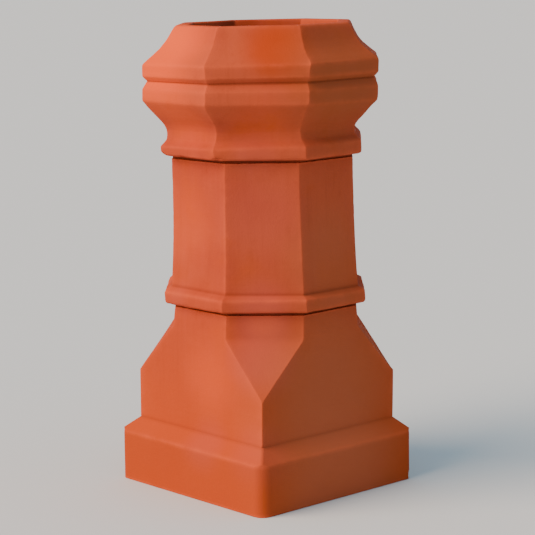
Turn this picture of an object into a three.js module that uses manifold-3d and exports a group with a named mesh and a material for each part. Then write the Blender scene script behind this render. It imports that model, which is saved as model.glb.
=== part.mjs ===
// An octagonal terracotta chimney pot on a square plinth, pressed in moulds and fired as one hollow piece.
// Millimetres, +Z up. The origin is the middle of the underside, and the four main faces look along X and Y.

import * as THREE from 'three';
import { mergeVertices } from 'three/addons/utils/BufferGeometryUtils.js';
import Module from 'manifold-3d';

// Driving dimensions: the shaft and the wall
const shaftWidth = 288;
const wall = 20;

// Heights of the courses, from the ground up
const plinthHeight = 81;
const weatheringHeight = 23;
const blockHeight = 76;
const broachHeight = 85;
const neckHeight = 35.5;
const ringHeight = 20.5;
const ringSlopeHeight = 7.5;
const shaftHeight = 206;
const rollHeight = 19.5;
const waistHeight = 26;
const coveHeight = 42;
const lowerBandHeight = 20;
const ledgeHeight = 13;
const undercutHeight = 8;
const upperBandHeight = 19.5;
const cavettoHeight = 26;
const lipHeight = 31.5;

// How far each course stands out from the shaft's flats
const plinthProjection = 28.5;
const blockProjection = 4;
const neckProjection = 1.5;
const ringProjection = 16.5;
const footFlare = 5;
const rollProjection = 15;
const waistProjection = 4.5;
const capProjection = 41;
const lipFootProjection = 9;
const rimInset = 7.5;

// Smaller shapes
const flareHeight = 90;
const jointHeight = 5;
const jointDepth = 3;
const grooveDepth = 7.5;
const scotiaHeight = 10;

// Roundings, each the distance from a corner to where its curve starts
const footRounding = 1.5;
const creaseRounding = 1;
const edgeRounding = 2;
const bandRounding = 3;
const ringFootRounding = 8;
const ringTopRounding = 2.5;
const rollRounding = 7;
const scotiaRounding = 5;
const flareRounding = 55;
const coveRounding = 11;
const cavettoRounding = 22;
const rimRounding = 4;

// Corners seen from above
const arrisRadius = 3;
const plinthCornerRadius = 18;
const cornerFlat = 1;

// A knock on one lower corner of the plinth
const chipRadius = 11;
const chipDepth = 5;
const chipLevel = 5;

const roundingSteps = 3;
const nearestShare = 0.48;
const cornerSteps = 2;
const faces = 8;
const faceTurn = (2 * Math.PI) / faces;
const tangentShare = Math.tan(faceTurn / 2);

// Half widths across the flats
const shaftHalf = shaftWidth / 2;
const plinthHalf = shaftHalf + plinthProjection;
const blockHalf = shaftHalf + blockProjection;
const neckHalf = shaftHalf + neckProjection;
const ringHalf = shaftHalf + ringProjection;
const rollHalf = shaftHalf + rollProjection;
const waistHalf = shaftHalf + waistProjection;
const capHalf = shaftHalf + capProjection;
const rimHalf = shaftHalf - rimInset;

// Levels, each the top of its course
const plinthTop = plinthHeight;
const blockFoot = plinthTop + weatheringHeight;
const broachFoot = blockFoot + blockHeight;
const broachTop = broachFoot + broachHeight;
const neckTop = broachTop + neckHeight;
const ringFoot = neckTop + jointHeight;
const ringTop = ringFoot + ringHeight;
const shaftFoot = ringTop + ringSlopeHeight;
const shaftTop = shaftFoot + shaftHeight;
const rollFoot = shaftTop + jointHeight;
const rollTop = rollFoot + rollHeight;
const coveFoot = rollTop + waistHeight;
const lowerBandFoot = coveFoot + coveHeight;
const grooveFoot = lowerBandFoot + lowerBandHeight;
const grooveMiddle = grooveFoot + ledgeHeight;
const grooveTop = grooveMiddle + undercutHeight;
const cavettoFoot = grooveTop + upperBandHeight;
const lipFoot = cavettoFoot + cavettoHeight;
const rimTop = lipFoot + lipHeight;

// How fast a broach runs out from the octagon's flats to the square's corners
const broachSlope = ((Math.SQRT2 - 1) * blockHalf) / broachHeight;

// The plinth's rounded corners, and the place on the weathering where they cut its sharp mitres off
const plinthReach = Math.SQRT2 * (plinthHalf - plinthCornerRadius) + plinthCornerRadius;
const mitreHalf = (plinthReach + (Math.SQRT2 - 1) * arrisRadius) * Math.SQRT1_2;
const mitreLevel = plinthTop + (weatheringHeight * (plinthHalf - mitreHalf)) / (plinthHalf - blockHalf);

// The outside's profile as [half width, level, rounding], from the foot to the rim
function outsideCorners() {
  return [
    [plinthHalf, 0, footRounding],
    [plinthHalf, plinthTop, edgeRounding],
    [mitreHalf, mitreLevel, 0],
    [blockHalf, blockFoot, creaseRounding],
    [blockHalf, broachFoot, 0],
    [blockHalf, broachTop, 0],
    [neckHalf, neckTop, 0],
    [neckHalf - jointDepth, neckTop, 0],
    [neckHalf - jointDepth, ringFoot, 0],
    [ringHalf, ringFoot, ringFootRounding],
    [ringHalf, ringTop, ringTopRounding],
    [shaftHalf + footFlare, shaftFoot, creaseRounding],
    [shaftHalf, shaftFoot + flareHeight, flareRounding],
    [shaftHalf, shaftTop, 0],
    [shaftHalf - jointDepth, shaftTop, 0],
    [shaftHalf - jointDepth, rollFoot, 0],
    [rollHalf, rollFoot, rollRounding],
    [rollHalf, rollTop, bandRounding],
    [waistHalf, rollTop + scotiaHeight, scotiaRounding],
    [waistHalf, coveFoot, coveRounding],
    [capHalf, lowerBandFoot, bandRounding],
    [capHalf, grooveFoot, edgeRounding],
    [capHalf - grooveDepth, grooveMiddle, 0],
    [capHalf, grooveTop, edgeRounding],
    [capHalf, cavettoFoot, bandRounding],
    [shaftHalf + lipFootProjection, lipFoot, cavettoRounding],
    [rimHalf, rimTop, rimRounding],
  ];
}

// The broad form without its mouldings, from the rim down, which the inside follows at the wall's thickness
function broadForm() {
  return [
    [rimHalf, rimTop],
    [rimHalf, rimTop - rimRounding],
    [capHalf, cavettoFoot],
    [capHalf, lowerBandFoot],
    [waistHalf, coveFoot],
    [shaftHalf, shaftTop],
    [blockHalf, neckTop],
    [blockHalf, blockFoot],
    [plinthHalf, plinthTop],
    [plinthHalf, 0],
  ];
}

// Moves a profile that runs downwards towards the axis by a distance, mitred at its corners
function inset(points, distance) {
  const normals = points.slice(1).map(([half, level], i) => {
    const run = new THREE.Vector2(half - points[i][0], level - points[i][1]).normalize();
    return new THREE.Vector2(run.y, -run.x);
  });
  return points.map(([half, level], i) => {
    const before = normals[Math.max(i - 1, 0)];
    const after = normals[Math.min(i, normals.length - 1)];
    const mitre = before.clone().add(after);
    mitre.multiplyScalar(distance / (1 + before.dot(after)));
    return [half + mitre.x, level + mitre.y, 0];
  });
}

// A closed profile with its corners rounded, as points of half width and level
function roundedProfile(corners) {
  const points = corners.map(([half, level]) => new THREE.Vector2(half, level));
  return corners.flatMap(([, , rounding], i) => {
    const corner = points[i];
    if (rounding === 0) {
      return [corner];
    }
    const start = towards(corner, points.at(i - 1), rounding);
    const end = towards(corner, points[(i + 1) % points.length], rounding);
    return new THREE.QuadraticBezierCurve(start, corner, end).getPoints(roundingSteps);
  });
}

// The point at a distance from one point towards another, and never as far as half of the way
function towards(from, to, distance) {
  const share = Math.min(distance / from.distanceTo(to), nearestShare);
  return from.clone().lerp(to, share);
}

// How far the diagonal faces stand from the axis on the octagon's flats, a broach's slope and the square
function broachReach(level, depth) {
  return blockHalf + (broachTop - level) * broachSlope - depth * Math.hypot(1, broachSlope);
}

function squareReach(half, radius) {
  return Math.SQRT2 * half - radius * tangentShare - cornerFlat / 2;
}

function diagonalReach(half, level, depth, radius) {
  return Math.min(squareReach(half, radius), Math.max(half, broachReach(level, depth)));
}

// The level at which a broach's slope, taken at a depth in the wall, has a given reach
function broachLevel(reach, depth) {
  return broachTop - (reach - broachReach(broachTop, depth)) / broachSlope;
}

// The radius of the corners seen from above: the plinth's stop the weathering's mitres at one reach
function cornerRadius(half, level) {
  if (level > blockFoot) {
    return arrisRadius;
  }
  return Math.max(arrisRadius, (Math.SQRT2 * half - plinthReach) / (Math.SQRT2 - 1));
}

// One level's outline: eight faces whose corners are rounded, four on the axes and four on the diagonals
function section(half, level, depth) {
  const radius = cornerRadius(half, level);
  const diagonal = diagonalReach(half, level, depth, radius);
  const ring = [];
  for (let face = 0; face < faces; face += 1) {
    const angle = face * faceTurn;
    const near = (face % 2 === 0 ? half : diagonal) - radius;
    const next = (face % 2 === 0 ? diagonal : half) - radius;
    const across = (next - near * Math.cos(faceTurn)) / Math.sin(faceTurn);
    const centreX = near * Math.cos(angle) - across * Math.sin(angle);
    const centreY = near * Math.sin(angle) + across * Math.cos(angle);
    for (let step = 0; step <= cornerSteps; step += 1) {
      const turn = angle + (faceTurn * step) / cornerSteps;
      ring.push([centreX + radius * Math.cos(turn), centreY + radius * Math.sin(turn), level]);
    }
  }
  return ring;
}

// A closed skin over a loop of sections: up the outside, over the rim and down the inside
function loopedLoft(rings) {
  const count = rings[0].length;
  const index = [];
  rings.forEach((ring, i) => {
    const here = i * count;
    const above = ((i + 1) % rings.length) * count;
    for (let j = 0; j < count; j += 1) {
      const next = (j + 1) % count;
      index.push(here + j, here + next, above + next);
      index.push(here + j, above + next, above + j);
    }
  });
  const geometry = new THREE.BufferGeometry();
  geometry.setAttribute('position', new THREE.Float32BufferAttribute(rings.flat(2), 3));
  geometry.setIndex(index);
  return geometry;
}

// The inside's profile as [half width, level, rounding], from the rim to the foot
function insideCorners() {
  const corners = inset(broadForm(), wall);
  corners[0][2] = rimRounding;
  const half = blockHalf - wall;
  const slopes = [half, squareReach(half, arrisRadius)].map((reach) => [half, broachLevel(reach, wall), 0]);
  return [...corners, ...slopes].sort((a, b) => b[1] - a[1]);
}

function potGeometry() {
  const outside = outsideCorners();
  const inside = insideCorners();
  const profile = roundedProfile([...outside, ...inside]);
  const rimMiddle = (rimHalf + inside[0][0]) / 2;
  const top = profile.findIndex((point) => point.y > rimTop - 0.001 && point.x < rimMiddle);
  const rings = profile.map((point, i) => section(point.x, point.y, i < top ? 0 : wall));
  return loopedLoft(rings);
}

function chipGeometry() {
  const distance = plinthReach + chipRadius - chipDepth;
  const chip = new THREE.IcosahedronGeometry(chipRadius, 1);
  return chip.translate(distance * Math.SQRT1_2, distance * Math.SQRT1_2, chipLevel);
}

const wasm = await Module();
wasm.setup();

function solid(geometry) {
  const bare = geometry.clone();
  bare.deleteAttribute('normal');
  bare.deleteAttribute('uv');
  const merged = mergeVertices(bare);
  return new wasm.Manifold(new wasm.Mesh({
    numProp: 3,
    vertProperties: new Float32Array(merged.attributes.position.array),
    triVerts: new Uint32Array(merged.index.array),
  }));
}

function geometryOf(manifold) {
  const { vertProperties, triVerts } = manifold.getMesh();
  const geometry = new THREE.BufferGeometry();
  geometry.setAttribute('position', new THREE.BufferAttribute(vertProperties, 3));
  geometry.setIndex(new THREE.BufferAttribute(triVerts, 1));
  return geometry;
}

const terracotta = new THREE.MeshStandardMaterial({ color: 0xb4593a, roughness: 0.85, metalness: 0 });

const pot = new THREE.Mesh(geometryOf(solid(potGeometry()).subtract(solid(chipGeometry()))), terracotta);
pot.name = 'chimney_pot';

const model = new THREE.Group();
model.add(pot);

export default model;
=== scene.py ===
import math

import bmesh
import bpy
import numpy as np
from mathutils import Matrix, Vector


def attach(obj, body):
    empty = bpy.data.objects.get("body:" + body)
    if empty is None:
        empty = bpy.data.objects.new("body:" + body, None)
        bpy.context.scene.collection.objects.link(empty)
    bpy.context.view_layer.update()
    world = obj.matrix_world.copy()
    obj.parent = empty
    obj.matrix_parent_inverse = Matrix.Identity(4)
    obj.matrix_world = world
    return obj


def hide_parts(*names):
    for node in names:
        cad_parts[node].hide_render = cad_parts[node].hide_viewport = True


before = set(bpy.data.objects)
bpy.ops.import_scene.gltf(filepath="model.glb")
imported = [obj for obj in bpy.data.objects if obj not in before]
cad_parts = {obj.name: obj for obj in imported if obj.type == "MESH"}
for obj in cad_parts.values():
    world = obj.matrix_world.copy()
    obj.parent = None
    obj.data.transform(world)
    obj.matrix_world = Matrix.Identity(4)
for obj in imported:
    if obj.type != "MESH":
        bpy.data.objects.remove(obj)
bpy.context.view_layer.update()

NODE = "chimney_pot"
BODY = "root"
SURFACE = "chimney_pot_surface"
MM = 0.001
MERGE_GAP = 0.001 * MM
LEVEL_GAP = 0.01 * MM
STRAIGHT_TURN = 1e-3
TINY = 1e-12
FACES = 8
FACE_TURN = math.tau / FACES
SEED = 7

# How finely the surface is divided
OUTSIDE_STEP = 4.2 * MM
INSIDE_STEP = 14 * MM
FOOT_STEP = 1.6 * MM
FOOT_BAND = 22 * MM
CORNER_OFFSETS = (0.7 * MM, 2.0 * MM)
CORNER_ANGLE = math.radians(12)
ARRIS_STEPS = 6
FACE_STEPS = 15
ARRIS_RADIUS = 2.6 * MM
ARRIS_ROOM = 0.8
PLINTH_RADIUS = 30 * MM
PLINTH_ZONE = 0.105
SQUARE_EXCESS = 1 * MM
WORN_SHARE = 0.25

# What the hand and the kiln did to the true form, as (level in metres, amount) from the foot up

# Millimetres that the axis has wandered to the photograph's left
WANDER = ((0, 0), (0.10, 0.2), (0.30, -0.4), (0.326, 1.5), (0.54, 4.4), (0.63, 4.7), (0.70, 4.4),
          (0.75, 1.4))

# Degrees that the section has turned
TURN = ((0, 0), (0.18, 0), (0.30, 0.9), (0.34, 1.5), (0.54, 1.4), (0.552, 0.4), (0.575, -0.4),
        (0.60, -0.6), (0.62, -1.1), (0.64, -0.4), (0.69, -0.3), (0.75, -1.5))

# How much the courses rise towards the photograph's right
SLOPE = ((0, 0), (0.27, 0), (0.31, 0.006), (0.325, 0.006), (0.334, -0.006), (0.40, 0), (0.51, 0),
         (0.545, 0.007), (0.551, 0.007), (0.568, 0.034), (0.60, 0.01), (0.632, 0.006), (0.664, 0.017),
         (0.69, 0.024), (0.75, 0.018))

# Millimetres that the main faces stand proud of the diagonal ones
PROUD = ((0, 0), (0.27, 0), (0.30, 0.3), (0.333, -0.4), (0.40, -0.8), (0.5395, -1.5), (0.5445, 4.0),
         (0.565, 4.0), (0.60, 1.2), (0.632, 2.0), (0.68, 2.1), (0.70, 3.9), (0.75, 4.7))

# Millimetres that each diagonal face's broach starts above or below its true level, let in over a zone
BROACH_RISE = {1: 2.5, 3: 1.5, 5: 4.5, 7: -3.0}
BROACH_ZONE = (0.12, 0.17)

# Waves in the clay, and wear on its edges, which is deeper at a few levels
WAVES = 22
WAVE_LENGTHS = (0.07, 0.4)
WAVE_HEIGHT = 0.45 * MM
FOOT_CALM = 12 * MM
RIM_CALM = 8 * MM
WEAR_WAVES = 60
WEAR_LENGTHS = (0.008, 0.03)
WEAR_DEPTH = 0.5 * MM
RAGGED_REACH = 4.5 * MM
RAGGED_EDGES = ((0.3065, 1.1 * MM), (0.3245, 0.9 * MM), (0.5465, 1.6 * MM))

# Where ridges turn pale, partly from worn clay and partly as a painted highlight, and hollows take painted
# shade, by how far the outline turns, in radians, within a reach
CREASE_REACH = 4 * MM
RIDGE_TURN = 1.2
ARRIS_SHARE = 0.5
ARRIS_FADE = 40
CREASE_TURNS = (0.4, 1.1)
CREASE_SHADE_SHARE = 0.6
SHADE_REACH = 11 * MM
SHADE_TURNS = (0.3, 1.3)
SHADE_SHARE = 0.22
SHADED_BELOW = 0.56

# The knock on one lower corner of the plinth
CHIP_RADIUS = 11 * MM
CHIP_DEPTH = 5 * MM
CHIP_LEVEL = 5 * MM
CHIP_ROUGHNESS = 0.4 * MM
CHIP_RIPPLES = (900.0, 1300.0, 700.0)
CHIP_FACE_TOP = 50 * MM

# The camera, fitted to the photograph's edges
PHOTO_SIZE = 535
FOCAL_PIXELS = 1950
SENSOR = 36
CAMERA_AZIMUTH = math.radians(46.86)
CAMERA_DISTANCE = 3.139
CAMERA_HEIGHT = 0.874
CAMERA_PITCH = math.radians(9.43)
CAMERA_YAW = math.radians(0.048)
CAMERA_ROLL = math.radians(-0.28)

CAMERA_RANGE = 500

LEFTWARDS = Vector((-math.cos(CAMERA_AZIMUTH), -math.sin(CAMERA_AZIMUTH), 0))

# The light and the floor
KEY_AZIMUTH = CAMERA_AZIMUTH - math.radians(66)
KEY_ELEVATION = math.radians(33)
KEY_ANGLE = math.radians(50)
KEY_ENERGY = 5.95
KEY_COLOUR = (1.0, 0.67, 0.46)
SKY_COLOUR = (0.98, 1.24, 1.38, 1.0)
SKY_STRENGTH = 0.5
FLOOR_COLOUR = (0.60, 0.67, 0.72, 1.0)
FLOOR_ROUGHNESS = 0.9
FLOOR_REACH = 60.0
FLOOR_DROP = 0.2 * MM


def curve_through(table, levels):
    """Values of a table at many levels, eased between its rows."""
    keys, values = (np.array(column, dtype=float) for column in zip(*table))
    levels = np.clip(levels, keys[0], keys[-1])
    row = np.clip(np.searchsorted(keys, levels, side="right") - 1, 0, len(keys) - 2)
    share = (levels - keys[row]) / (keys[row + 1] - keys[row])
    eased = share * share * (3 - 2 * share)
    return values[row] + (values[row + 1] - values[row]) * eased


def wall_section(mesh, direction):
    """The wall cut by an upright half plane: a loop of (reach, level) up the outside and down the inside."""
    bm = bmesh.new()
    bm.from_mesh(mesh)
    bmesh.ops.remove_doubles(bm, verts=bm.verts, dist=MERGE_GAP)
    across = Vector((-direction.y, direction.x, 0))
    geometry = bm.verts[:] + bm.edges[:] + bm.faces[:]
    cut = bmesh.ops.bisect_plane(bm, geom=geometry, plane_co=(0, 0, 0), plane_no=across)["geom_cut"]
    links = {}
    for edge in cut:
        if isinstance(edge, bmesh.types.BMEdge) and (edge.verts[0].co + edge.verts[1].co).dot(direction) > 0:
            first, second = edge.verts
            links.setdefault(first, []).append(second)
            links.setdefault(second, []).append(first)
    place = {vert: (vert.co.dot(direction), vert.co.z) for vert in links}
    start = max((vert for vert in links if place[vert][1] < LEVEL_GAP), key=lambda vert: place[vert][0])
    onwards = max(links[start], key=lambda vert: place[vert][1])
    loop = [start]
    before, here = start, onwards
    while here is not start:
        loop.append(here)
        before, here = here, next(vert for vert in links[here] if vert is not before)
    points = np.array([place[vert] for vert in loop])
    bm.free()
    return points


def without_straight_points(points):
    """The same open outline without the points that lie on a straight run."""
    kept = [points[0]]
    for here, after in zip(points[1:-1], points[2:]):
        one = here - kept[-1]
        two = after - here
        turn = abs(one[0] * two[1] - one[1] * two[0])
        if turn > STRAIGHT_TURN * np.linalg.norm(one) * np.linalg.norm(two):
            kept.append(here)
    kept.append(points[-1])
    return np.array(kept)


def subdivided(points, step):
    """An outline with points at most a step apart, and closer ones beside its sharp corners."""
    runs = np.diff(points, axis=0)
    angles = np.arctan2(runs[:, 1], runs[:, 0])
    turns = np.abs((np.diff(angles) + math.pi) % math.tau - math.pi)
    sharp = np.concatenate([[0], turns, [0]]) > CORNER_ANGLE
    result = []
    for i, run in enumerate(runs):
        length = np.linalg.norm(run)
        near_foot = max(points[i][1], points[i + 1][1]) < FOOT_BAND
        low = [offset for offset in CORNER_OFFSETS if sharp[i] and offset < length / 3]
        high = [length - offset for offset in CORNER_OFFSETS if sharp[i + 1] and offset < length / 3]
        count = max(1, math.ceil(length / (FOOT_STEP if near_foot else step)))
        even = [length * k / count for k in range(1, count)]
        spaced = [d for d in even if all(abs(d - other) > CORNER_OFFSETS[0] for other in low + high)]
        for distance in [0.0, *sorted(low + spaced + high)]:
            result.append(points[i] + run * (distance / length))
    result.append(points[-1])
    return np.array(result)


def relaxed(points):
    """An outline with slightly worn corners: each point moves a little towards its neighbours' middle."""
    gaps = np.linalg.norm(np.diff(points, axis=0), axis=1)
    weight = gaps[1:] / (gaps[:-1] + gaps[1:])
    middle = points[:-2] * weight[:, None] + points[2:] * (1 - weight[:, None])
    worn = points.copy()
    worn[1:-1] += WORN_SHARE * (middle - points[1:-1])
    return worn


def bend(points, reach):
    """How far an outline turns at each point within a reach: above nought on a bulge, below in a hollow."""
    gaps = np.linalg.norm(np.diff(points, axis=0), axis=1)
    along = np.concatenate([[0], np.cumsum(gaps)])
    before = [np.interp(along - reach, along, points[:, k]) for k in (0, 1)]
    after = [np.interp(along + reach, along, points[:, k]) for k in (0, 1)]
    one = np.stack([points[:, 0] - before[0], points[:, 1] - before[1]], axis=1)
    two = np.stack([after[0] - points[:, 0], after[1] - points[:, 1]], axis=1)
    cross = one[:, 0] * two[:, 1] - one[:, 1] * two[:, 0]
    return np.arctan2(cross, (one * two).sum(axis=1))


def ring_layout():
    """The places round one section: face number, share of the arris turned, share of the face passed."""
    places = []
    for face in range(FACES):
        for step in range(ARRIS_STEPS + 1):
            places.append((face, step / ARRIS_STEPS, 0.0))
        for step in range(1, FACE_STEPS):
            places.append((face, 1.0, 0.5 - 0.5 * math.cos(math.pi * step / FACE_STEPS)))
    return places


def eased(values, low, high):
    """Nought below one value, one above another and a smooth rise between them."""
    share = np.clip((values - low) / (high - low), 0, 1)
    return share * share * (3 - 2 * share)


def corner_point(near, onwards, radius, face, turned):
    """A point on the rounded arris between a face and the next one."""
    angle = face * FACE_TURN
    near = near - radius
    onwards = onwards - radius
    across = (onwards - near * math.cos(FACE_TURN)) / math.sin(FACE_TURN)
    centre_x = near * math.cos(angle) - across * math.sin(angle)
    centre_y = near * math.sin(angle) + across * math.cos(angle)
    turn = angle + FACE_TURN * turned
    return centre_x + radius * np.cos(turn), centre_y + radius * np.sin(turn)


def sections(levels, main, diagonals, largest):
    """Every point of the surface, as an array of rings by places by three coordinates."""
    layout = ring_layout()
    rings = np.zeros((len(levels), len(layout), 3))
    rings[:, :, 2] = levels[:, None]
    reach = [diagonals[face] if face % 2 else main for face in range(FACES)]
    # The radius at which a corner of the square rounds off just as far as the diagonal face cuts it
    room = [(math.sqrt(2) * main - diagonals[face]) / math.tan(FACE_TURN / 2) for face in range(1, FACES, 2)]
    radius = np.minimum(largest, ARRIS_ROOM * np.min(room, axis=0))
    for column, (face, turned, passed) in enumerate(layout):
        onwards = (face + 1) % FACES
        x, y = corner_point(reach[face], reach[onwards], radius, face, turned)
        if passed:
            end_x, end_y = corner_point(reach[onwards], reach[(face + 2) % FACES], radius, onwards, 0.0)
            x = x + (end_x - x) * passed
            y = y + (end_y - y) * passed
        rings[:, column, 0] = x
        rings[:, column, 1] = y
    for face in range(1, FACES, 2):
        full = room[face // 2]
        turned_round = 1 - eased(full, ARRIS_RADIUS * 2, ARRIS_RADIUS * 3)
        turned_round = np.where(largest > ARRIS_RADIUS, 1.0, turned_round)[:, None]
        columns = [column for column, (owner, _, passed) in enumerate(layout)
                   if owner == face - 1 or owner == face and not passed]
        turns = (face - 1) * FACE_TURN + np.linspace(0, math.pi / 2, len(columns))
        curve = np.minimum(full, largest)
        start, end = (face - 1) * FACE_TURN, (face + 1) * FACE_TURN
        centre_x = (main - curve) * (math.cos(start) + math.cos(end))
        centre_y = (main - curve) * (math.sin(start) + math.sin(end))
        x = centre_x[:, None] + curve[:, None] * np.cos(turns)
        y = centre_y[:, None] + curve[:, None] * np.sin(turns)
        rings[:, columns, 0] += (x - rings[:, columns, 0]) * turned_round
        rings[:, columns, 1] += (y - rings[:, columns, 1]) * turned_round
    return rings


def diagonal_reaches(profile, corner, rises):
    """How far each diagonal face stands out: on the square's corners, on the broaches and on the octagon."""
    upwards = slice(None) if profile[0, 1] < profile[-1, 1] else slice(None, None, -1)
    profile_up, corner_up = profile[upwards], corner[upwards]
    flats = np.interp(corner_up[:, 1], profile_up[:, 1], profile_up[:, 0])
    square = corner_up[:, 0] - flats > SQUARE_EXCESS
    broach_top = corner_up[~square & (corner_up[:, 1] > BROACH_ZONE[1])][0, 1]
    below = corner_up[:, 1] <= broach_top + MERGE_GAP
    levels = profile[:, 1]
    reaches = {}
    for face, rise in rises.items():
        shifted = levels - rise * MM * eased(levels, *BROACH_ZONE)
        reach = np.interp(shifted, corner_up[below][:, 1], corner_up[below][:, 0])
        reaches[face] = np.where(shifted < broach_top, np.maximum(reach, profile[:, 0]), profile[:, 0])
    return reaches


def settle(points):
    """The true form as it left the mould and the kiln: turned, leaning, its courses not quite level."""
    x, y, z = points.reshape(-1, 3).T
    turn = np.radians(curve_through(TURN, z))
    wander = curve_through(WANDER, z) * MM
    slope = curve_through(SLOPE, z)
    turned_x = x * np.cos(turn) - y * np.sin(turn)
    turned_y = x * np.sin(turn) + y * np.cos(turn)
    rightwards = -(turned_x * LEFTWARDS.x + turned_y * LEFTWARDS.y)
    leaning_x = turned_x + wander * LEFTWARDS.x
    leaning_y = turned_y + wander * LEFTWARDS.y
    return np.stack([leaning_x, leaning_y, z + slope * rightwards], axis=1).reshape(points.shape)


def ripples(points, count, lengths, seed):
    """A smooth random height at each point, about one unit strong: the sum of many slanting ripples."""
    rng = np.random.default_rng(seed)
    height = np.zeros(points.shape[:-1])
    for _ in range(count):
        direction = rng.normal(size=3)
        direction /= np.linalg.norm(direction)
        length = rng.uniform(*lengths)
        phase = rng.uniform(0, math.tau)
        height += np.sin(points @ direction * math.tau / length + phase) * math.sqrt(length)
    return height / (math.sqrt(count / 2) * math.sqrt(np.mean(lengths)))


def handled(points, normals, ridge):
    """Low waves of soft clay that fade out at the foot and the rim, and edges worn back unevenly."""
    waves = ripples(points, WAVES, WAVE_LENGTHS, SEED) * WAVE_HEIGHT
    top = points[..., 2].max()
    calm = np.clip(points[..., 2] / FOOT_CALM, 0, 1) * np.clip((top - points[..., 2]) / RIM_CALM, 0, 1)
    depth = np.full(points.shape[:-1], WEAR_DEPTH)
    for level, ragged_depth in RAGGED_EDGES:
        ragged = 1 - eased(np.abs(points[..., 2] - level), RAGGED_REACH / 2, RAGGED_REACH)
        depth += (ragged_depth - WEAR_DEPTH) * ragged
    wear = np.clip(ripples(points, WEAR_WAVES, WEAR_LENGTHS, SEED + 1), 0, 2) * depth * ridge
    return points + normals * ((waves - wear) * calm)[..., None]


def ring_normals(points):
    """Outward normals of a closed grid of rings."""
    along = np.roll(points, -1, axis=1) - np.roll(points, 1, axis=1)
    up = np.roll(points, -1, axis=0) - np.roll(points, 1, axis=0)
    normals = np.cross(along, up)
    return normals / np.maximum(np.linalg.norm(normals, axis=-1, keepdims=True), TINY)


def knocked(points, plinth_diagonal):
    """The surface with the lower corner's chip pressed out of it."""
    outwards = np.array([math.sqrt(0.5), math.sqrt(0.5), 0])
    centre = outwards * (plinth_diagonal + CHIP_RADIUS - CHIP_DEPTH)
    centre[2] = CHIP_LEVEL
    offset = points - centre
    distance = np.linalg.norm(offset, axis=-1, keepdims=True)
    rough = np.sin(points @ np.array(CHIP_RIPPLES))[..., None] * CHIP_ROUGHNESS
    pressed = centre + offset / np.maximum(distance, TINY) * (CHIP_RADIUS + rough)
    pressed[..., 2] = np.maximum(pressed[..., 2], 0)
    return np.where(distance < CHIP_RADIUS, pressed, points)


def grid_mesh(name, points):
    """A closed mesh over a loop of rings."""
    rings, places, _ = points.shape
    here = np.arange(rings * places).reshape(rings, places)
    beside = np.roll(here, -1, axis=1)
    above = np.roll(here, -1, axis=0)
    opposite = np.roll(above, -1, axis=1)
    quads = np.stack([here, beside, opposite, above], axis=-1).reshape(-1, 4)
    mesh = bpy.data.meshes.new(name)
    mesh.from_pydata(points.reshape(-1, 3).tolist(), [], quads.tolist())
    mesh.shade_smooth()
    return mesh


def store(mesh, name, values):
    """Keeps a number for each point of a mesh, for its material to read."""
    attribute = mesh.attributes.new(name, "FLOAT", "POINT")
    attribute.data.foreach_set("value", np.ascontiguousarray(values, dtype=np.float32).ravel())


def build_pot():
    """The pot's whole surface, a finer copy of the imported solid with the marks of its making."""
    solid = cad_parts[NODE].data
    flat_loop = wall_section(solid, Vector((0, -1, 0)))
    corner_loop = wall_section(solid, Vector((1, -1, 0)).normalized())
    top = flat_loop[:, 1].max()
    parts = []
    for loop in (flat_loop, corner_loop):
        rim = int(np.argmax(loop[:, 1] > top - LEVEL_GAP))
        parts.append((without_straight_points(loop[:rim + 1]), without_straight_points(loop[rim + 1:])))
    (outside, inside), (outside_corner, inside_corner) = parts

    outside = relaxed(subdivided(outside, OUTSIDE_STEP))
    inside = subdivided(inside, INSIDE_STEP)
    outline = np.concatenate([outside, inside])
    levels = outline[:, 1]

    no_rises = dict.fromkeys(BROACH_RISE, 0)
    outer_reaches = diagonal_reaches(outside, outside_corner, BROACH_RISE)
    inner_reaches = diagonal_reaches(inside, inside_corner, no_rises)
    diagonals = {face: np.concatenate([outer_reaches[face], inner_reaches[face]]) for face in BROACH_RISE}
    plinth_corner = np.concatenate([outside[:, 1] < PLINTH_ZONE, np.zeros(len(inside), bool)])
    main = outline[:, 0] + curve_through(PROUD, levels) * MM
    points = sections(levels, main, diagonals, np.where(plinth_corner, PLINTH_RADIUS, ARRIS_RADIUS))

    passed = np.array([share for _, _, share in ring_layout()])
    near_arris = np.exp(-np.minimum(passed, 1 - passed) * ARRIS_FADE)
    turning = np.concatenate([bend(outside, CREASE_REACH), np.zeros(len(inside))])
    broad_turning = np.concatenate([bend(outside, SHADE_REACH), np.zeros(len(inside))])
    arris_ridge = ARRIS_SHARE * near_arris[None, :] * ~plinth_corner[:, None]
    ridge = np.clip(np.clip(turning / RIDGE_TURN, 0, 1)[:, None] + arris_ridge, 0, 1)
    shaded = np.where(levels < SHADED_BELOW, eased(-broad_turning, *SHADE_TURNS), 0)
    # Painted shade: sharp creases, and broad hollows low on the pot, are darkened in the colour
    crease_shade = CREASE_SHADE_SHARE * eased(-turning, *CREASE_TURNS) + SHADE_SHARE * shaded

    points = settle(points)
    points = handled(points, ring_normals(points), ridge)
    points = knocked(points, diagonals[1][levels < CHIP_FACE_TOP].max())

    mesh = grid_mesh(SURFACE, points)
    store(mesh, "ridge", ridge)
    store(mesh, "crease_shade", np.repeat(crease_shade[:, None], len(passed), axis=1))
    inner = np.concatenate([np.zeros(len(outside)), np.ones(len(inside))])
    store(mesh, "inner", np.repeat(inner[:, None], len(passed), axis=1))
    pot = bpy.data.objects.new(SURFACE, mesh)
    bpy.context.scene.collection.objects.link(pot)
    return pot


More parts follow.
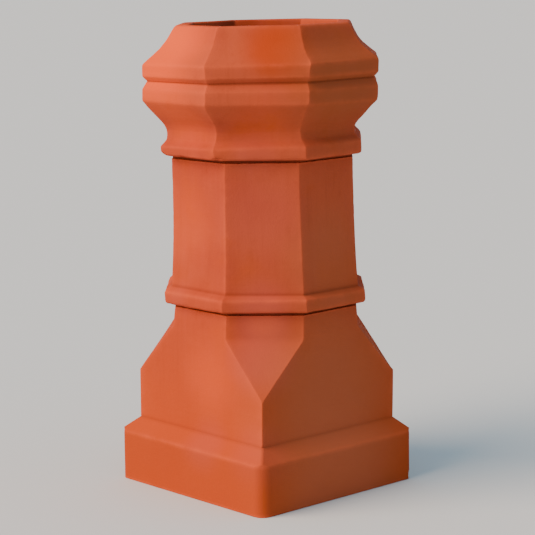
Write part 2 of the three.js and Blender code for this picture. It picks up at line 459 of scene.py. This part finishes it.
class Nodes:
    """Short calls for laying out a material."""

    def __init__(self, name):
        self.material = bpy.data.materials.new(name)
        self.material.use_nodes = True
        self.tree = self.material.node_tree
        self.tree.nodes.clear()

    def add(self, kind, **values):
        node = self.tree.nodes.new(kind)
        for key, value in values.items():
            setattr(node, key, value)
        return node

    def link(self, source, target):
        self.tree.links.new(source, target)

    def noise(self, vector, scale, detail=3.0, roughness=0.55, distortion=0.0):
        node = self.add("ShaderNodeTexNoise")
        node.inputs["Scale"].default_value = scale
        node.inputs["Detail"].default_value = detail
        node.inputs["Roughness"].default_value = roughness
        node.inputs["Distortion"].default_value = distortion
        self.link(vector, node.inputs["Vector"])
        return node.outputs["Fac"]

    def stretched(self, vector, scale):
        node = self.add("ShaderNodeMapping")
        node.inputs["Scale"].default_value = scale
        self.link(vector, node.inputs["Vector"])
        return node.outputs["Vector"]

    def shifted(self, vector, offset):
        node = self.add("ShaderNodeMapping")
        node.inputs["Location"].default_value = offset
        self.link(vector, node.inputs["Vector"])
        return node.outputs["Vector"]

    def between(self, value, low, high, out_low=0.0, out_high=1.0):
        node = self.add("ShaderNodeMapRange", interpolation_type="SMOOTHSTEP")
        node.inputs["From Min"].default_value = low
        node.inputs["From Max"].default_value = high
        node.inputs["To Min"].default_value = out_low
        node.inputs["To Max"].default_value = out_high
        self.link(value, node.inputs["Value"])
        return node.outputs["Result"]

    def math(self, operation, first, second):
        node = self.add("ShaderNodeMath", operation=operation)
        for socket, value in zip(node.inputs, (first, second)):
            if isinstance(value, (int, float)):
                socket.default_value = value
            else:
                self.link(value, socket)
        return node.outputs["Value"]

    def blend(self, share, first, second):
        node = self.add("ShaderNodeMix", data_type="RGBA")
        sockets = (node.inputs["Factor"], node.inputs[6], node.inputs[7])
        for socket, value in zip(sockets, (share, first, second)):
            if isinstance(value, (int, float, tuple)):
                socket.default_value = value
            else:
                self.link(value, socket)
        return node.outputs[2]

    def near(self, vector, centre, radius, strength):
        node = self.add("ShaderNodeVectorMath", operation="DISTANCE")
        self.link(vector, node.inputs[0])
        node.inputs[1].default_value = centre
        return self.between(node.outputs["Value"], radius, radius * 0.25, 0.0, strength)

    def attribute(self, name):
        return self.add("ShaderNodeAttribute", attribute_name=name).outputs["Fac"]


def colour(red, green, blue):
    """A colour from the usual 0 to 255 values."""
    def linear(value):
        value /= 255
        return value / 12.92 if value <= 0.04045 else ((value + 0.055) / 1.055) ** 2.4
    return (linear(red), linear(green), linear(blue), 1.0)


CLAY = colour(176, 78, 51)
CLAY_RED = colour(163, 67, 46)
CLAY_ORANGE = colour(173, 70, 31)
CLAY_BLOOM_AND_PAINTED_LIGHT = colour(212, 92, 58)
CLAY_FLASH = colour(169, 61, 22)
CLAY_PAINTED_LIGHT = colour(208, 84, 42)
CLAY_PAINTED_LIGHT_STRONG = colour(223, 90, 46)
CLAY_ROSE = colour(175, 77, 61)
CLAY_SHADE_BROWN = colour(167, 87, 57)
CLAY_SHADE_UMBER = colour(155, 78, 48)
CLAY_PALE_FOOT = colour(182, 95, 64)
CLAY_DARK = colour(76, 28, 12)

# Patches of colour: centre, radius, strength and colour. Some are the clay's own tints from the kiln; others
# are painted light on the lit side, painted light lifting the shade on the neck under the ring, painted
# shade on the shaded side and painted shade inside the mouth
TINTS = (
    ((0.136, -0.100, 0.724), 0.076, 0.95, CLAY_FLASH),
    # Painted light: the upward-facing cavetto on the lit side, lightened
    ((-0.06, -0.18, 0.71), 0.13, 0.9, CLAY_PAINTED_LIGHT_STRONG),
    # Painted light: lit-side patches on the cap, the shaft and the plinth, lightened
    ((0.0, -0.17, 0.61), 0.07, 0.45, CLAY_PAINTED_LIGHT),
    ((0.11, -0.11, 0.61), 0.07, 0.28, CLAY_PAINTED_LIGHT),
    ((0.03, -0.17, 0.20), 0.09, 0.35, CLAY_PAINTED_LIGHT),
    ((-0.03, -0.145, 0.44), 0.09, 0.3, CLAY_PAINTED_LIGHT),
    ((0.125, -0.125, 0.24), 0.078, 0.85, CLAY_ROSE),
    ((0.11, -0.11, 0.315), 0.06, 0.7, CLAY_ROSE),
    # Painted light: the neck under the ring, lightened against its shade
    ((0.10, -0.10, 0.285), 0.055, 0.8, CLAY_ROSE),
    ((0.11, -0.11, 0.46), 0.10, 0.45, CLAY_ROSE),
    # Painted light: the neck under the ring, lightened further
    ((0.10, -0.10, 0.292), 0.04, 0.35, CLAY_BLOOM_AND_PAINTED_LIGHT),
    ((0.03, -0.165, 0.09), 0.06, 0.45, CLAY_ROSE),
    ((0.14, -0.14, 0.09), 0.07, 0.45, CLAY_ROSE),
    # Painted shade: a dark patch on the inside wall of the mouth
    ((-0.116, 0.048, 0.745), 0.05, 0.35, CLAY_DARK),
    ((-0.04, -0.15, 0.315), 0.04, 0.4, CLAY_ROSE),
    ((0.10, -0.12, 0.555), 0.05, 0.5, CLAY_ROSE),
    # Painted shade: the shaded right side in darker, browner colours
    ((0.20, 0.0, 0.67), 0.16, 0.9, CLAY_SHADE_UMBER),
    ((0.17, 0.0, 0.38), 0.13, 0.6, CLAY_SHADE_BROWN),
    ((0.20, 0.0, 0.16), 0.22, 0.85, CLAY_SHADE_BROWN),
    # Paler towards the foot on the right side
    ((0.19, -0.01, 0.0), 0.20, 0.65, CLAY_PALE_FOOT),
)

# Levels between which a tint comes in, downwards, and its strength
ORANGE_LEVELS, ORANGE_SHARE = (0.45, 0.02), 0.9
# Painted shade: the plinth's upright wall, below its sloping top, a little darker
FOOT_SHADE_LEVELS, FOOT_SHADE_SHARE = (0.086, 0.074), 0.12
# Painted shade: the inside of the flue darkens downwards from the rim
INNER_SHADE_LEVELS, INNER_SHADE_SHARE = (0.74, 0.58), 0.6

# How strongly the pale ridges, partly a painted highlight, and the painted shade in the hollows show
RIDGE_WEAR_AND_HIGHLIGHT = (0.15, 0.5)
CREASE_SHADE_DARK = 0.68

BUMP_STRENGTH = 0.55
BUMP_HEIGHT = 0.9 * MM
GRAIN_SPECK = 0.5
GRAIN_DRAG = 0.35
ROUGHNESS = (0.92, 0.74)
SPECULAR = 0.04


def terracotta():
    """Unglazed red clay: soft firing clouds, pale ridges that are partly worn and partly a painted
    highlight, painted shade in the hollows, patches of painted light and shade, and a fine grain.
    """
    n = Nodes("terracotta")
    place = n.add("ShaderNodeTexCoord").outputs["Object"]
    clouds = n.noise(place, 5.0, 2.0)
    warm = n.noise(n.shifted(place, (3.1, 1.7, 0.4)), 9.0, 3.0, 0.5, 0.4)
    mottle = n.noise(place, 38.0, 4.0, 0.6)
    speck = n.noise(place, 420.0, 2.0, 0.5)
    streaks = n.noise(n.stretched(n.shifted(place, (0.7, 2.3, 5.1)), (110.0, 110.0, 7.0)), 1.0, 3.0, 0.6)
    drag = n.noise(n.stretched(place, (4.0, 4.0, 240.0)), 1.0, 2.0, 0.5)

    base = n.blend(n.between(clouds, 0.38, 0.62), CLAY_RED, CLAY)
    # Each veil's pattern, the value where it starts, the value where it is full, its strength and its colour
    veils = (
        (warm, 0.50, 0.72, 0.55, CLAY_ORANGE),
        (mottle, 0.55, 0.80, 0.10, CLAY_BLOOM_AND_PAINTED_LIGHT),
        (mottle, 0.45, 0.25, 0.08, CLAY_DARK),
        (speck, 0.62, 0.80, 0.12, CLAY_BLOOM_AND_PAINTED_LIGHT),
        (speck, 0.36, 0.22, 0.12, CLAY_DARK),
        (streaks, 0.50, 0.75, 0.16, CLAY_ROSE),
        (streaks, 0.50, 0.25, 0.08, CLAY_DARK),
    )
    for pattern, start, full, strength, tint in veils:
        base = n.blend(n.between(pattern, start, full, 0.0, strength), base, tint)

    apart = n.add("ShaderNodeSeparateXYZ")
    n.link(place, apart.inputs[0])
    level = apart.outputs["Z"]
    base = n.blend(n.between(level, *ORANGE_LEVELS, 0.0, ORANGE_SHARE), base, CLAY_ORANGE)
    for centre, radius, strength, tint in TINTS:
        base = n.blend(n.near(place, centre, radius, strength), base, tint)
    # Painted shade at the plinth's foot
    base = n.blend(n.between(level, *FOOT_SHADE_LEVELS, 0.0, FOOT_SHADE_SHARE), base, CLAY_DARK)

    # Ridges and arrises turn pale: partly worn clay, partly a painted highlight
    ridge = n.math("MULTIPLY", n.attribute("ridge"), n.between(mottle, 0.3, 0.65, *RIDGE_WEAR_AND_HIGHLIGHT))
    base = n.blend(ridge, base, CLAY_BLOOM_AND_PAINTED_LIGHT)
    # Painted shade: creases and hollows are darkened towards CLAY_DARK
    crease_shade = n.math("MULTIPLY", n.attribute("crease_shade"), CREASE_SHADE_DARK)
    base = n.blend(crease_shade, base, CLAY_DARK)
    # Painted shade inside the flue, deeper down
    inner_shade = n.math("MULTIPLY", n.attribute("inner"), n.between(level, *INNER_SHADE_LEVELS, 0.0, INNER_SHADE_SHARE))
    base = n.blend(inner_shade, base, CLAY_DARK)

    grain = n.math("ADD", n.math("MULTIPLY", speck, GRAIN_SPECK), mottle)
    grain = n.math("ADD", grain, n.math("MULTIPLY", drag, GRAIN_DRAG))
    bump = n.add("ShaderNodeBump")
    bump.inputs["Strength"].default_value = BUMP_STRENGTH
    bump.inputs["Distance"].default_value = BUMP_HEIGHT
    n.link(grain, bump.inputs["Height"])

    shader = n.add("ShaderNodeBsdfPrincipled")
    shader.inputs["Specular IOR Level"].default_value = SPECULAR
    n.link(base, shader.inputs["Base Color"])
    n.link(n.between(mottle, 0.3, 0.7, *ROUGHNESS), shader.inputs["Roughness"])
    n.link(bump.outputs["Normal"], shader.inputs["Normal"])
    output = n.add("ShaderNodeOutputMaterial")
    n.link(shader.outputs["BSDF"], output.inputs["Surface"])
    return n.material


def plain(name, tint, roughness):
    """A material of one colour."""
    n = Nodes(name)
    shader = n.add("ShaderNodeBsdfPrincipled")
    shader.inputs["Base Color"].default_value = tint
    shader.inputs["Roughness"].default_value = roughness
    output = n.add("ShaderNodeOutputMaterial")
    n.link(shader.outputs["BSDF"], output.inputs["Surface"])
    return n.material


def build_floor():
    """A wide pale floor, so that it fills the view from any side."""
    mesh = bpy.data.meshes.new("floor")
    corners = [(FLOOR_REACH * x, FLOOR_REACH * y, 0) for x, y in ((-1, -1), (1, -1), (1, 1), (-1, 1))]
    mesh.from_pydata(corners, [], [(0, 1, 2, 3)])
    mesh.materials.append(plain("pale_floor", FLOOR_COLOUR, FLOOR_ROUGHNESS))
    floor = bpy.data.objects.new("floor", mesh)
    floor.location.z = -FLOOR_DROP
    bpy.context.scene.collection.objects.link(floor)


def build_lights():
    """A broad soft key from the photograph's left and an even sky."""
    world = bpy.data.worlds.new("studio")
    world.use_nodes = True
    background = world.node_tree.nodes["Background"]
    background.inputs["Color"].default_value = SKY_COLOUR
    background.inputs["Strength"].default_value = SKY_STRENGTH
    bpy.context.scene.world = world

    key = bpy.data.lights.new("key", "SUN")
    key.energy = KEY_ENERGY
    key.color = KEY_COLOUR
    key.angle = KEY_ANGLE
    key_object = bpy.data.objects.new("key", key)
    level = Vector((math.sin(KEY_AZIMUTH), -math.cos(KEY_AZIMUTH), 0))
    towards = level * math.cos(KEY_ELEVATION) + Vector((0, 0, math.sin(KEY_ELEVATION)))
    key_object.rotation_euler = towards.to_track_quat("Z", "Y").to_euler()
    bpy.context.scene.collection.objects.link(key_object)


def build_camera():
    """The photograph's camera: its place, its aim and its lens."""
    back = Vector((math.sin(CAMERA_AZIMUTH), -math.cos(CAMERA_AZIMUTH), 0))
    right = Vector((math.cos(CAMERA_AZIMUTH), math.sin(CAMERA_AZIMUTH), 0))
    upright = Vector((0, 0, 1))
    ahead = -back
    right, ahead = (right * math.cos(CAMERA_YAW) - ahead * math.sin(CAMERA_YAW),
                    right * math.sin(CAMERA_YAW) + ahead * math.cos(CAMERA_YAW))
    up = ahead * math.sin(CAMERA_PITCH) + upright * math.cos(CAMERA_PITCH)
    ahead = ahead * math.cos(CAMERA_PITCH) - upright * math.sin(CAMERA_PITCH)
    right, up = (right * math.cos(CAMERA_ROLL) + up * math.sin(CAMERA_ROLL),
                 up * math.cos(CAMERA_ROLL) - right * math.sin(CAMERA_ROLL))
    data = bpy.data.cameras.new("camera")
    data.sensor_width = SENSOR
    data.lens = FOCAL_PIXELS / PHOTO_SIZE * SENSOR
    data.clip_end = CAMERA_RANGE
    camera = bpy.data.objects.new("camera", data)
    turn = Matrix((right, up, -ahead)).transposed().to_4x4()
    camera.matrix_world = Matrix.Translation(back * CAMERA_DISTANCE + upright * CAMERA_HEIGHT) @ turn
    bpy.context.scene.collection.objects.link(camera)
    bpy.context.scene.camera = camera


build_camera()
pot = build_pot()
pot.data.materials.append(terracotta())
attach(pot, BODY)
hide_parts(NODE)
build_floor()
build_lights()
